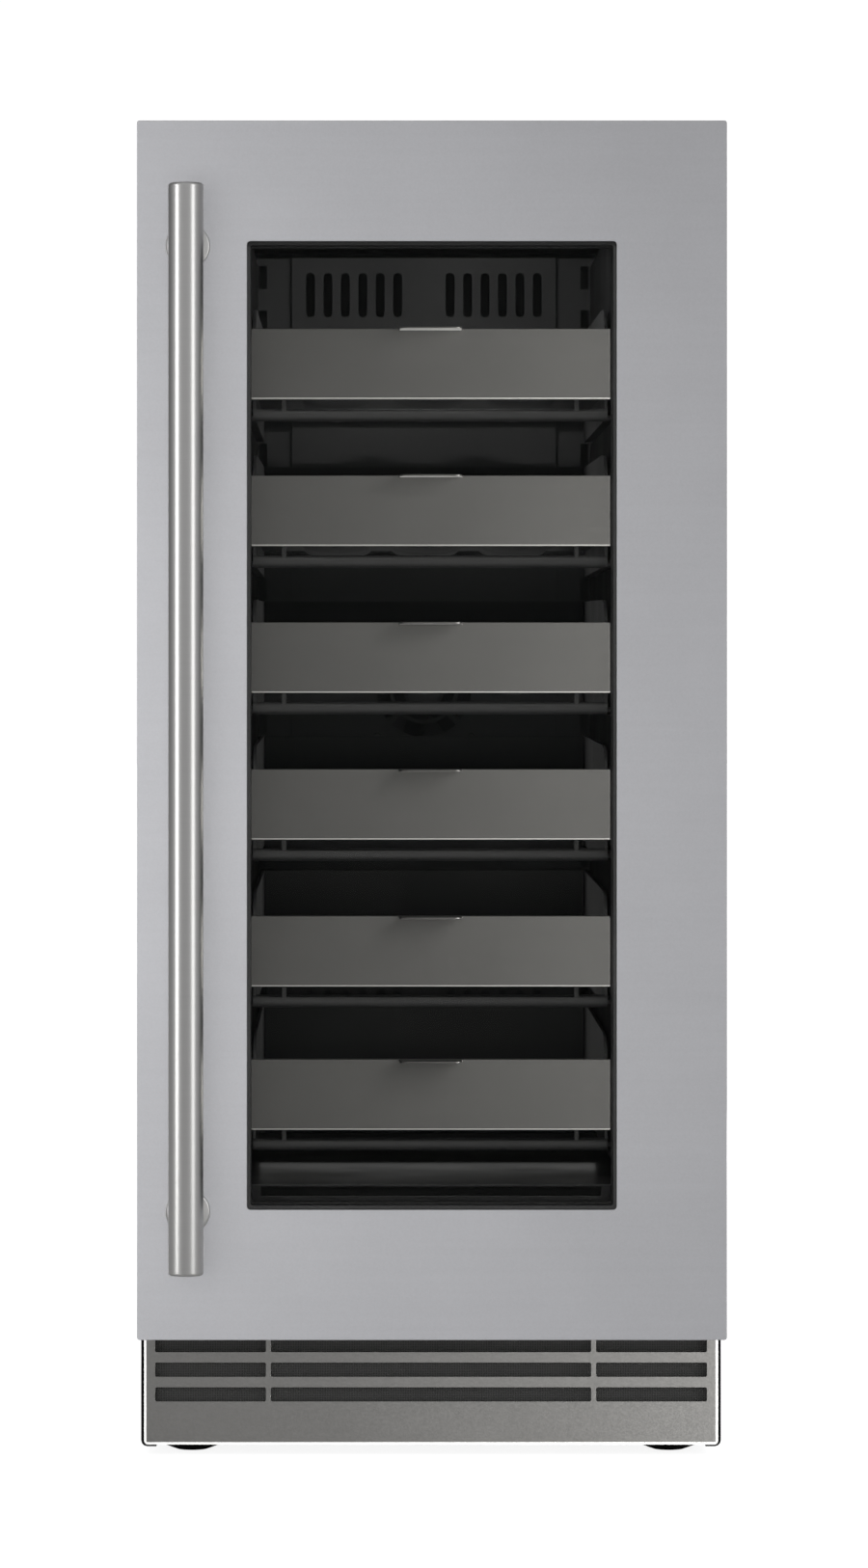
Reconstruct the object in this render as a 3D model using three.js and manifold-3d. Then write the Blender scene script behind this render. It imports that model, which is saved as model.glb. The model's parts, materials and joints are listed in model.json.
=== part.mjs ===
import * as THREE from 'three';
import Module from 'manifold-3d';
import { mergeGeometries, mergeVertices } from 'three/addons/utils/BufferGeometryUtils.js';

// Wine cooler, undercounter, one door hinged on the right, six pull-out racks.
// Millimetres, +Z up, front faces -Y. In the tables below Y is measured backwards
// from the front face of the door; ORIGIN_Y moves the object over its origin,
// which is the centre of its footprint on the floor.

const wasm = await Module();
wasm.setup();

// ---------------------------------------------------------------- dimensions
const HEIGHT = 868;                 // floor to the top of the door
const HALF_W = 190.5;               // half the door width
const DEPTH_BEHIND_DOOR_FACE = 595.75;
const HANDLE_R = 11.25;
const HANDLE_OUT = 48;              // door face to handle axis
const ORIGIN_Y = -(DEPTH_BEHIND_DOOR_FACE - HANDLE_OUT - HANDLE_R) / 2;
const GAP = 0.3;                    // clearance between touching pieces

const DOOR_Z0 = 80.4;
const DOOR_Z1 = HEIGHT;
const SKIN = 1.2;                   // door skin sheet
const SKIN_RETURN = 26;             // depth of the folded door edge
const WINDOW = { x: 119.4, z0: 164.6, z1: 790.1, r: 2.2 };
const CLEAR = { x: 117.2, z0: 166.8, z1: 787.9, r: 1.5 };   // inside the glass spacer
const GLASS_HALF = 126;             // half width of the glass unit
const GLASS_LAP = GLASS_HALF - WINDOW.x;
const GLASS_T = 4;
const GLASS1_Y = SKIN + GAP;
const SPACER_Y0 = GLASS1_Y + GLASS_T + GAP;
const SPACER_Y1 = 23.7;
const GLASS2_Y = SPACER_Y1 + GAP;
const CORE_Y1 = GLASS2_Y + GLASS_T + 2;
const DOOR_BACK = 42;
const CABINET_Y = 50;               // front face of the cabinet

const HINGE = { x: 178, y: 20, pin: 3, armHalf: 6, armT: 2.6, armGap: 1.4, notchR: 9.5, notchY: 7.2 };
const HANDLE = { x: -157.6, z: 475.2, half: 348.5, standoff: 311.5, postR: 8, flangeR: 14.5, flangeT: 5 };

const SHELL = { x: 189.5, z0: 5.8, z1: 866.4, t: 0.8, r: 4, lip: 10 };
const BACK_Y = DEPTH_BEHIND_DOOR_FACE;
const REAR_PANEL_Y = 592;
const LINER = { x: 140, z0: 177, z1: 819, back: 520, t: 1.6, r: 12 };
const LINER_FLANGE = { x: 168, z0: 118, z1: 844 };
const AIR_SLOT = { x: 111, z0: 169.4, z1: 177 };
const DECK_Z = 146;

const RACK_TOPS = [738.2, 641.5, 544.8, 448.1, 351.4, 257.0];   // top edges of the fronts
const RACK = {
  half: 118.2, frontY: 78, frontT: 1.6, frontH: 46.4, fold: 9,
  barY0: 87, barY1: 95.5, barTop: 52.3, barH: 8.3,
  floorTop: 41, floorT: 1.2, floorY1: 404, hollowDeep: 5, hollowHalf: 24, hollowPitch: 62,
  bodyHalf: 117, rearY: 462, rearT: 1.6, rearUp: 19.3, rearDown: 43, sideT: 2,
  stayX: 95,
  runnerOut: 127, runnerDrop: 56.2, runnerT: 3, runnerY0: 104, runnerY1: 455,
};
const RAIL = { x0: 119.7, x1: 139.7, z0: 189.5, z1: 806, y0: 84, y1: 470, grooveX: 128.4, grooveH: 6,
  wall: 2.8 };
const PULL = { half: 20.5, out: 24, t: 1.2, r: 5 };

const COVER = { x: 95.4, z0: 182, z1: 813, y: 478, t: 2 };
const WING = { x0: 94, x1: 138, y: 487, z0: 190, slotX: [113.6, 119.2], slotH: 16.8, slotUp: 37.3,
  topSlot: 807.6 };
const SLOT = { w: 6.3, h: 32, x0: 19, pitch: 12.6, count: 6, rows: [786, 268] };
const FAN = { z: 501, half: 40, depth: 24, bore: 37, rotorR: 34.5, hubR: 15, ear: 35.75 };

const TOE = { x: 187.6, z0: 7, z1: 117.6, t: 1.2 };
const LOUVRE = { rows: [[35.1, 44.4], [51.2, 60.6], [67.3, 76.6]],
  cols: [[-180.4, -107.9], [-104.7, 104.7], [107.9, 180.4]] };
const FEET = { x: 157, yFront: 88, yRear: 556 };
const FILTER = { x: 184, y: 58, t: 5, z1: 118 };
const PAN = { x: 187.5, y0: 53, y1: 591.7, z: 10.2, t: 1.4, up: 14 };
const PAN_TOP = PAN.z + PAN.t + GAP;

const GASKET = { x: 166, z0: 138, z1: 836, width: 14 };
const LAMP = { half: 62, y0: 100, y1: 118 };
const CONTROL = { half: 76, y0: 56, y1: 82, z0: 797, displayHalf: 52, displayZ0: 801, displayZ1: 813 };
const EVAPORATOR = { half: 80, z0: 300, z1: 430, fins: 17 };
const COMPRESSOR = { x: 96, y: 500, lift: 12, footX0: 30, footX1: 162 };
const CONDENSER = { x0: -172, x1: -30, y0: 96, y1: 150, z1: 128, fins: 19 };
const CONDENSER_FAN = { x: -101, z: 70, half: 56, bore: 52, hubR: 18, rotorR: 49, y: 156, depth: 24 };
const DRAIN = { x0: -176, x1: -40, y0: 400, y1: 560, up: 20, h: 28, wall: 2.5 };
const BOARD = { x0: 40, x1: 168, y0: 110, y1: 220, h: 46, lid: 4 };
const FIN_T = 2.4;

// ----------------------------------------------------------------- materials
const mat = (color, roughness, metalness, extra = {}) =>
  new THREE.MeshStandardMaterial({ color, roughness, metalness, ...extra });
const STEEL = mat(0xa9a9ac, 0.38, 0.9);
const STEEL_DARK = mat(0x5c5b59, 0.42, 0.8);
const BLACK = mat(0x17171a, 0.45, 0.0);
const BLACK_GLOSS = mat(0x121214, 0.22, 0.0);
const BLACK_PAINT = mat(0x1b1b1d, 0.4, 0.5);
const RUBBER = mat(0x202022, 0.85, 0.0);
const GLASS = mat(0xd8e2e4, 0.05, 0.0, { transparent: true, opacity: 0.25 });
const GALV = mat(0x9a9d9f, 0.5, 0.8);
const ALU = mat(0xc4c6c8, 0.4, 0.9);
const COPPER = mat(0xb4693c, 0.35, 0.9);
const FOAM = mat(0xe2cf9a, 0.9, 0.0);
const SEALED_FOAM = mat(0x1a1a1c, 0.85, 0.0);
const FILTER_MESH = mat(0x3c3c3a, 0.9, 0.0);
const LENS = mat(0xe8ecef, 0.3, 0.0);

// ------------------------------------------------------------ shape builders
const EAST_UP = new THREE.Matrix4().makeBasis(          // (y, z, x) to (x, y, z)
  new THREE.Vector3(0, 1, 0), new THREE.Vector3(0, 0, 1), new THREE.Vector3(1, 0, 0));

const box = (x0, x1, y0, y1, z0, z1) =>
  new THREE.BoxGeometry(x1 - x0, y1 - y0, z1 - z0)
    .translate((x0 + x1) / 2, (y0 + y1) / 2, (z0 + z1) / 2);

const rectPath = (x0, x1, z0, z1) => [[x0, z0], [x1, z0], [x1, z1], [x0, z1]];

function roundPath(x0, x1, z0, z1, r, steps = 4) {
  const out = [];
  const corners = [[x1 - r, z0 + r, -90], [x1 - r, z1 - r, 0], [x0 + r, z1 - r, 90], [x0 + r, z0 + r, 180]];
  for (const [cx, cz, start] of corners) {
    for (let i = 0; i <= steps; i += 1) {
      const a = THREE.MathUtils.degToRad(start + (90 * i) / steps);
      out.push([cx + r * Math.cos(a), cz + r * Math.sin(a)]);
    }
  }
  return out;
}

function circlePath(cx, cz, r, sides = 24) {
  return Array.from({ length: sides }, (_, i) => {
    const a = (2 * Math.PI * i) / sides;
    return [cx + r * Math.cos(a), cz + r * Math.sin(a)];
  });
}

function extrude(outline, holes, depth) {
  const shape = new THREE.Shape(outline.map(([a, b]) => new THREE.Vector2(a, b)));
  for (const hole of holes) {
    shape.holes.push(new THREE.Path(hole.map(([a, b]) => new THREE.Vector2(a, b))));
  }
  return new THREE.ExtrudeGeometry(shape, { depth, bevelEnabled: false });
}

// an upright plate: outline in X and Z, thickness along Y
const plate = (outline, holes, y0, y1) =>
  extrude(outline, holes, y1 - y0).rotateX(Math.PI / 2).translate(0, y1, 0);
// a flat slab: outline in X and Y, thickness along Z
const slab = (outline, holes, z0, z1) => extrude(outline, holes, z1 - z0).translate(0, 0, z0);
// a side profile: outline in Y and Z, thickness along X
const side = (outline, x0, x1) => extrude(outline, [], x1 - x0).applyMatrix4(EAST_UP).translate(x0, 0, 0);

// turned pieces: profile is radius and height, axis up
const turned = (profile, sides = 32) =>
  new THREE.LatheGeometry(profile.map(([r, h]) => new THREE.Vector2(r, h)), sides).rotateX(Math.PI / 2);
const turnedForward = (profile, sides = 32) => turned(profile, sides).rotateX(Math.PI / 2);

function tube(points, radius, sides = 8, steps = 26) {
  const path = new THREE.CatmullRomCurve3(points.map((p) => new THREE.Vector3(...p)), false, 'centripetal');
  const ring = new THREE.Shape(circlePath(0, 0, radius, sides).map(([a, b]) => new THREE.Vector2(a, b)));
  return new THREE.ExtrudeGeometry(ring, { steps, bevelEnabled: false, extrudePath: path });
}

function toSolid(geometry) {
  const g = geometry.clone();
  for (const key of Object.keys(g.attributes)) if (key !== 'position') g.deleteAttribute(key);
  const m = mergeVertices(g, 1e-4);
  return new wasm.Manifold(new wasm.Mesh({
    numProp: 3,
    vertProperties: new Float32Array(m.attributes.position.array),
    triVerts: new Uint32Array(m.index.array),
  }));
}

function fromSolid(solid) {
  const mesh = solid.getMesh();
  const g = new THREE.BufferGeometry();
  g.setAttribute('position', new THREE.BufferAttribute(new Float32Array(mesh.vertProperties), 3));
  g.setIndex(new THREE.BufferAttribute(new Uint32Array(mesh.triVerts), 1));
  return g;
}

const join = (...parts) => fromSolid(parts.map(toSolid).reduce((a, b) => a.add(b)));
const cut = (body, ...tools) =>
  fromSolid(tools.map(toSolid).reduce((a, b) => a.subtract(b), toSolid(body)));

const group = new THREE.Group();
group.name = 'wine_cooler';

function add(name, geometry, material) {
  const g = geometry.index ? geometry.toNonIndexed() : geometry.clone();
  for (const key of Object.keys(g.attributes)) if (key !== 'position') g.deleteAttribute(key);
  g.translate(0, ORIGIN_Y, 0);
  g.computeVertexNormals();
  const mesh = new THREE.Mesh(g, material.clone());
  mesh.name = name;
  group.add(mesh);
}

// ------------------------------------------------------------------- cabinet
// U-shaped wrapper: sides and top in one sheet, its lower edges folded inwards
function shellProfile() {
  const { x, z0, z1, t, r, lip } = SHELL;
  const half = (inset) => {
    const ri = r - inset;
    const pts = [[x - lip, z0 + inset]];
    for (let i = 0; i <= 3; i += 1) {
      const a = THREE.MathUtils.degToRad(-90 + 30 * i);
      pts.push([x - r + ri * Math.cos(a), z0 + r + ri * Math.sin(a)]);
    }
    for (let i = 0; i <= 3; i += 1) {
      const a = THREE.MathUtils.degToRad(30 * i);
      pts.push([x - r + ri * Math.cos(a), z1 - r + ri * Math.sin(a)]);
    }
    return pts;
  };
  const mirror = (pts) => pts.map(([a, b]) => [-a, b]).reverse();
  const outer = half(0);
  const inner = half(t);
  return [...outer, ...mirror(outer), ...mirror(inner).reverse(), ...inner.slice().reverse()];
}
const shellInner = SHELL.x - SHELL.t;
const flangeX = SHELL.x - SHELL.t / 2;
const flangeZ = SHELL.z1 - SHELL.t / 2;
const flangeCorner = SHELL.r - 1;
const frontFlange = plate([
  [flangeX, TOE.z1 + GAP], [flangeX, flangeZ - flangeCorner], [flangeX - flangeCorner, flangeZ],
  [-flangeX + flangeCorner, flangeZ], [-flangeX, flangeZ - flangeCorner],
  [-flangeX, TOE.z1 + GAP], [-LINER_FLANGE.x - GAP, TOE.z1 + GAP],
  [-LINER_FLANGE.x - GAP, LINER_FLANGE.z1 + GAP], [LINER_FLANGE.x + GAP, LINER_FLANGE.z1 + GAP],
  [LINER_FLANGE.x + GAP, TOE.z1 + GAP],
], [], CABINET_Y, CABINET_Y + SHELL.t);
add('cabinet_shell', join(plate(shellProfile(), [], CABINET_Y, BACK_Y), frontFlange), BLACK_PAINT);

// foam between wrapper and liner, open at the front, resting on the machine deck
const foamY0 = CABINET_Y + LINER.t + GAP;
const foamY1 = REAR_PANEL_Y - GAP;
const insideShell = (z0) => roundPath(-shellInner + GAP, shellInner - GAP, z0,
  SHELL.z1 - SHELL.t - GAP, SHELL.r, 3);
add('foam_insulation', cut(
  plate(insideShell(DECK_Z + 1.5), [], foamY0, foamY1),
  plate(roundPath(-LINER.x - LINER.t - GAP, LINER.x + LINER.t + GAP, LINER.z0 - LINER.t - GAP,
    LINER.z1 + LINER.t + GAP, LINER.r + LINER.t), [], CABINET_Y, LINER.back + LINER.t + GAP),
  box(-AIR_SLOT.x - 2, AIR_SLOT.x + 2, CABINET_Y, foamY0 + 18, AIR_SLOT.z0 - 2, LINER.z0),
), FOAM);

// one-piece liner: front flange with the air slot, tub and back wall
const linerOuter = roundPath(-LINER.x - LINER.t, LINER.x + LINER.t, LINER.z0 - LINER.t,
  LINER.z1 + LINER.t, LINER.r + LINER.t);
const linerInner = roundPath(-LINER.x, LINER.x, LINER.z0, LINER.z1, LINER.r);
add('interior_liner', join(
  plate(rectPath(-LINER_FLANGE.x, LINER_FLANGE.x, LINER_FLANGE.z0, LINER_FLANGE.z1),
    [linerInner, rectPath(-AIR_SLOT.x, AIR_SLOT.x, AIR_SLOT.z0, AIR_SLOT.z1 - LINER.t)],
    CABINET_Y, CABINET_Y + LINER.t),
  plate(linerOuter, [linerInner], CABINET_Y + LINER.t / 2, LINER.back + LINER.t / 2),
  plate(linerOuter, [], LINER.back, LINER.back + LINER.t),
), BLACK_GLOSS);

add('rear_panel', plate(insideShell(DECK_Z + 1.5), [], REAR_PANEL_Y, REAR_PANEL_Y + SHELL.t), GALV);

// machine deck: sheet under the foam with a folded front edge
add('machine_deck', join(
  box(-shellInner + GAP, shellInner - GAP, CABINET_Y + 4, REAR_PANEL_Y - GAP, DECK_Z, DECK_Z + 1.2),
  box(-shellInner + GAP, shellInner - GAP, CABINET_Y + 4, CABINET_Y + 5.2, DECK_Z - 12, DECK_Z + 0.6),
), GALV);

// base pan with folded edges on all four sides
add('base_pan', cut(
  box(-PAN.x, PAN.x, PAN.y0, PAN.y1, PAN.z, PAN.z + PAN.up),
  box(-PAN.x + PAN.t, PAN.x - PAN.t, PAN.y0 + PAN.t, PAN.y1 - PAN.t, PAN.z + PAN.t, PAN.z + PAN.up + 5),
), GALV);

// stainless toe grille: three rows of louvre openings and folded side edges
const louvres = [];
for (const [z0, z1] of LOUVRE.rows) {
  for (const [x0, x1] of LOUVRE.cols) louvres.push(roundPath(x0, x1, z0, z1, 1, 2));
}
add('toe_grille', join(
  plate(roundPath(-TOE.x, TOE.x, TOE.z0, TOE.z1, 2.5, 3), louvres, CABINET_Y, CABINET_Y + TOE.t),
  box(-TOE.x, -TOE.x + TOE.t, CABINET_Y + 0.4, CABINET_Y + 2.7, 20, TOE.z1 - 4),
  box(TOE.x - TOE.t, TOE.x, CABINET_Y + 0.4, CABINET_Y + 2.7, 20, TOE.z1 - 4),
), STEEL);

// washable air filter that stands on the pan behind the louvres
add('air_filter', box(-FILTER.x, FILTER.x, FILTER.y, FILTER.y + FILTER.t, PAN_TOP, FILTER.z1),
  FILTER_MESH);

// levelling feet: bowl-shaped glide under the pan on a threaded stud
const footProfile = [[0, 0], [10, 0], [13.5, 1.2], [18.4, 3.2], [20.3, 5.6], [20.3, 9.8],
  [0, 9.8]];
const feet = { front_left: [-FEET.x, FEET.yFront], front_right: [FEET.x, FEET.yFront],
  rear_left: [-FEET.x, FEET.yRear], rear_right: [FEET.x, FEET.yRear] };
for (const [key, [x, y]] of Object.entries(feet)) {
  add(`foot_${key}`, turned(footProfile, 24).translate(x, y, 0), RUBBER);
}

// ------------------------------------------------------------ interior fixed
// rail panels: seven lands with a groove between each pair for the rack runners
function railProfile(sign) {
  const pts = [[RAIL.x1, RAIL.z0], [RAIL.x1, RAIL.z1], [RAIL.x0, RAIL.z1]];
  for (const top of RACK_TOPS) {
    const mid = top - RACK.runnerDrop - RACK.runnerT / 2;
    const up = mid + RAIL.grooveH / 2;
    const down = mid - RAIL.grooveH / 2;
    pts.push([RAIL.x0, up], [RAIL.grooveX, up], [RAIL.grooveX, down], [RAIL.x0, down]);
  }
  pts.push([RAIL.x0, RAIL.z0]);
  return sign > 0 ? pts : pts.map(([a, b]) => [-a, b]).reverse();
}
// each land is a thin moulded wall, open towards the liner behind it
function railPanel(sign) {
  const groove = RAIL.grooveH / 2 + RAIL.wall;
  const mids = RACK_TOPS.map((top) => top - RACK.runnerDrop - RACK.runnerT / 2);
  const tops = [RAIL.z1 - RAIL.wall, ...mids.map((z) => z - groove)];
  const bottoms = [...mids.map((z) => z + groove), RAIL.z0 + RAIL.wall];
  const span = sign > 0 ? [RAIL.x0 + RAIL.wall, RAIL.x1 + 1] : [-RAIL.x1 - 1, -RAIL.x0 - RAIL.wall];
  const pockets = tops.filter((z, i) => z - bottoms[i] > RAIL.wall)
    .map((z) => box(...span, RAIL.y0 + RAIL.wall, RAIL.y1 - RAIL.wall, bottoms[tops.indexOf(z)], z));
  return cut(plate(railProfile(sign), [], RAIL.y0, RAIL.y1), ...pockets);
}
add('rack_rail_left', railPanel(-1), BLACK_GLOSS);
add('rack_rail_right', railPanel(1), BLACK_GLOSS);

// rear air duct cover: face with two rows of slots and a fan opening, folded sides
const coverHoles = [circlePath(0, FAN.z, FAN.bore, 28)];
for (const z of SLOT.rows) {
  for (const s of [-1, 1]) {
    for (let i = 0; i < SLOT.count; i += 1) {
      const x = s * (SLOT.x0 + SLOT.pitch * i);
      coverHoles.push(roundPath(x - SLOT.w / 2, x + SLOT.w / 2, z - SLOT.h / 2, z + SLOT.h / 2, 3, 2));
    }
  }
}
// stepped-back wings at both sides carry a column of hook slots, one per rack and one on top
function coverWing(sign) {
  const x = (a, b) => (sign > 0 ? [a, b] : [-b, -a]);
  const tops = [WING.topSlot, ...RACK_TOPS.map((top) => top + WING.slotUp)];
  const slots = tops.map((top) => rectPath(...x(...WING.slotX), top - WING.slotH, top));
  return plate(rectPath(...x(WING.x0, WING.x1), WING.z0, COVER.z1), slots, WING.y, WING.y + COVER.t);
}
add('air_duct_cover', join(
  coverWing(-1), coverWing(1),
  plate(rectPath(-COVER.x, COVER.x, COVER.z0, COVER.z1), coverHoles, COVER.y, COVER.y + COVER.t),
  box(-COVER.x, -COVER.x + COVER.t, COVER.y, LINER.back - GAP, COVER.z0, COVER.z1),
  box(COVER.x - COVER.t, COVER.x, COVER.y, LINER.back - GAP, COVER.z0, COVER.z1),
), BLACK);

// fan guard: two rings on four spokes that end in the screw ears
const spoke = (angle) => new THREE.BoxGeometry(FAN.ear * 2.84, 2, 3.2).rotateY(angle);
const guardY = COVER.y - GAP - 1.6;
add('fan_guard', join(
  plate(circlePath(0, 0, 37.5, 28), [circlePath(0, 0, 34.5, 28)], -1, 1),
  plate(circlePath(0, 0, 25, 24), [circlePath(0, 0, 22.4, 24)], -1, 1),
  plate(circlePath(0, 0, 12, 16), [], -1, 1),
  spoke(Math.PI / 4), spoke(-Math.PI / 4),
).translate(0, guardY, FAN.z), BLACK);

function fanFrame(half, bore, hub, y0, y1, cx, cz) {
  const legs = [0, 90, 180, 270].map((deg) => new THREE.BoxGeometry(bore + 1.5, 2.4, 4)
    .translate(bore / 2 + 0.75, 0, 0).rotateY(THREE.MathUtils.degToRad(deg + 20))
    .translate(cx, y1 - 1.4, cz));
  return join(
    plate(roundPath(cx - half, cx + half, cz - half, cz + half, 4, 2), [circlePath(cx, cz, bore, 28)],
      y0, y1),
    plate(circlePath(cx, cz, hub, 20), [], y1 - 2.6, y1 - 0.2), ...legs);
}

// fan rotor: hub with twisted blades around the Y axis
function fanRotor(hubR, tipR, blades, y0, y1, cx, cz) {
  const mid = (y0 + y1) / 2;
  const length = tipR - hubR + 2;
  const parts = [plate(circlePath(0, 0, hubR, 20), [], y0, y1)];
  for (let i = 0; i < blades; i += 1) {
    parts.push(new THREE.BoxGeometry(length, 1.4, hubR * 1.15).rotateX(0.6)
      .translate(hubR - 2 + length / 2, mid, 0).rotateY((2 * Math.PI * i) / blades));
  }
  return join(...parts).translate(cx, 0, cz);
}
const evapFanY = COVER.y + COVER.t + GAP;
add('evaporator_fan_frame',
  fanFrame(FAN.half, FAN.bore, FAN.hubR, evapFanY, evapFanY + FAN.depth, 0, FAN.z), BLACK);
add('evaporator_fan_rotor',
  fanRotor(FAN.hubR, FAN.rotorR, 7, evapFanY + 3, evapFanY + 18, 0, FAN.z), BLACK);

// fin pack: a comb of fins on a tube plate, closed by end returns
function finPack(x0, x1, y0, y1, z0, z1, fins, finT) {
  const pitch = (x1 - x0 - finT) / (fins - 1);
  const spine = y0 + (y1 - y0) * 0.35;
  const pts = [[x0, spine], [x0, y0]];
  for (let i = 0; i < fins; i += 1) {
    const x = x0 + pitch * i;
    if (i > 0) pts.push([x, spine], [x, y0]);
    pts.push([x + finT, y0], [x + finT, spine]);
  }
  const top = [];
  for (let i = fins - 1; i >= 0; i -= 1) {
    const x = x0 + pitch * i;
    top.push([x + finT, y1], [x, y1]);
    if (i > 0) top.push([x, spine + 4], [x0 + pitch * (i - 1) + finT, spine + 4]);
  }
  return slab([...pts.slice(1), ...top], [], z0, z1);
}
add('evaporator', finPack(-EVAPORATOR.half, EVAPORATOR.half, COVER.y + 5, LINER.back - 1,
  EVAPORATOR.z0, EVAPORATOR.z1, EVAPORATOR.fins, FIN_T), ALU);

add('interior_light', join(
  box(-LAMP.half, LAMP.half, LAMP.y0, LAMP.y1, LINER.z1 - 7, LINER.z1 - GAP),
  plate(roundPath(-LAMP.half + 6, LAMP.half - 6, LINER.z1 - 11, LINER.z1 - 6, 2, 2), [],
    LAMP.y0 + 3, LAMP.y1 - 3),
), LENS);

add('control_housing', cut(
  side([[CONTROL.y0, CONTROL.z0], [CONTROL.y1 - 4, CONTROL.z0], [CONTROL.y1, CONTROL.z0 + 4],
    [CONTROL.y1, LINER.z1 - GAP], [CONTROL.y0, LINER.z1 - GAP]], -CONTROL.half, CONTROL.half),
  box(-CONTROL.displayHalf, CONTROL.displayHalf, CONTROL.y0 - 2, CONTROL.y0 + 1.2,
    CONTROL.displayZ0, CONTROL.displayZ1),
), BLACK);
add('control_display', box(-CONTROL.displayHalf + 0.4, CONTROL.displayHalf - 0.4, CONTROL.y0,
  CONTROL.y0 + 0.9, CONTROL.displayZ0 + 0.4, CONTROL.displayZ1 - 0.4), LENS);

// ---------------------------------------------------------------------- door
const doorOutline = roundPath(-HALF_W, HALF_W, DOOR_Z0, DOOR_Z1, 1.6, 3);
const skinBody = join(
  plate(doorOutline, [roundPath(-WINDOW.x, WINDOW.x, WINDOW.z0, WINDOW.z1, WINDOW.r)], 0, SKIN),
  plate(doorOutline,
    [roundPath(-HALF_W + SKIN, HALF_W - SKIN, DOOR_Z0 + SKIN, DOOR_Z1 - SKIN, 0.4, 1)],
    SKIN / 2, SKIN_RETURN),
);
// room for the hinge arms at the back of the door's top and bottom edges
const hingeNotch = (z0, z1) =>
  box(HINGE.x - HINGE.notchR, HALF_W + 2, HINGE.notchY, DOOR_BACK + 2, z0, z1);
const notchH = HINGE.armT + 2 * HINGE.armGap;
const NOTCH = { top: [DOOR_Z1 - notchH, DOOR_Z1 + 2], low: [DOOR_Z0 - 2, DOOR_Z0 + notchH] };
const notches = [hingeNotch(...NOTCH.top), hingeNotch(...NOTCH.low)];
const pinHoles = slab(circlePath(HINGE.x, HINGE.y, HINGE.pin + 0.35, 16), [], DOOR_Z0 - 3, DOOR_Z1 + 3);
add('door_skin', cut(skinBody, ...notches), STEEL);

const coreHalf = HALF_W - SKIN - GAP;
const coreHole = rectPath(-GLASS_HALF - GAP, GLASS_HALF + GAP, WINDOW.z0 - GLASS_LAP - GAP,
  WINDOW.z1 + GLASS_LAP + GAP);
add('door_core', cut(
  plate(rectPath(-coreHalf, coreHalf, DOOR_Z0 + SKIN + GAP, DOOR_Z1 - SKIN - GAP), [coreHole],
    SKIN + GAP, CORE_Y1),
  ...notches, pinHoles), SEALED_FOAM);
add('door_liner', cut(
  plate(roundPath(-HALF_W + 0.8, HALF_W - 0.8, DOOR_Z0 + 0.8, DOOR_Z1 - 0.8, 2, 2),
    [roundPath(-CLEAR.x, CLEAR.x, CLEAR.z0, CLEAR.z1, CLEAR.r)], CORE_Y1 + GAP, DOOR_BACK),
  ...notches), BLACK);

const paneOutline = rectPath(-GLASS_HALF, GLASS_HALF, WINDOW.z0 - GLASS_LAP, WINDOW.z1 + GLASS_LAP);
add('glass_outer', plate(paneOutline, [], GLASS1_Y, GLASS1_Y + GLASS_T), GLASS);
add('glass_spacer', plate(paneOutline, [roundPath(-CLEAR.x, CLEAR.x, CLEAR.z0, CLEAR.z1, CLEAR.r)],
  SPACER_Y0, SPACER_Y1), BLACK);
add('glass_inner', plate(paneOutline, [], GLASS2_Y, GLASS2_Y + GLASS_T), GLASS);

// magnetic gasket: narrow foot against the door, wide bulb towards the cabinet
function ring(inset, y0, y1) {
  const x = GASKET.x - inset;
  const innerX = GASKET.x - GASKET.width + inset;
  return plate(
    roundPath(-x, x, GASKET.z0 + inset, GASKET.z1 - inset, 3, 2),
    [roundPath(-innerX, innerX, GASKET.z0 + GASKET.width - inset, GASKET.z1 - GASKET.width + inset, 2, 2)],
    y0, y1);
}
add('door_gasket',
  join(ring(3, DOOR_BACK + GAP, 45.5), ring(0, 45, 48.6), ring(2, 48, CABINET_Y - 0.4)), RUBBER);

// hinge brackets: plate on the cabinet front, arm into the notch, fixed pin
function hinge(z0, up) {
  const z1 = z0 + HINGE.armT;
  const arm = [];
  for (let i = 0; i <= 8; i += 1) {
    const a = THREE.MathUtils.degToRad(180 + 22.5 * i);
    arm.push([HINGE.x + HINGE.armHalf * Math.cos(a), HINGE.y + HINGE.armHalf * Math.sin(a)]);
  }
  arm.push([HINGE.x + HINGE.armHalf, CABINET_Y - GAP], [HINGE.x - HINGE.armHalf, CABINET_Y - GAP]);
  const footZ = up ? [z0, z0 + 26] : [z1 - 26, z1];
  const pinZ = up ? [z1 - 0.5, z1 + 12] : [z0 - 12, z0 + 0.5];
  const footX = [HINGE.x - HINGE.armHalf, HINGE.x + HINGE.armHalf];
  return join(
    slab(arm, [], z0, z1),
    box(...footX, CABINET_Y - GAP - 2.4, CABINET_Y - GAP, ...footZ),
    slab(circlePath(HINGE.x, HINGE.y, HINGE.pin, 16), [], ...pinZ));
}
add('hinge_upper', hinge(DOOR_Z1 - HINGE.armGap - HINGE.armT, false), GALV);
add('hinge_lower', hinge(DOOR_Z0 + HINGE.armGap, true), GALV);

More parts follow.
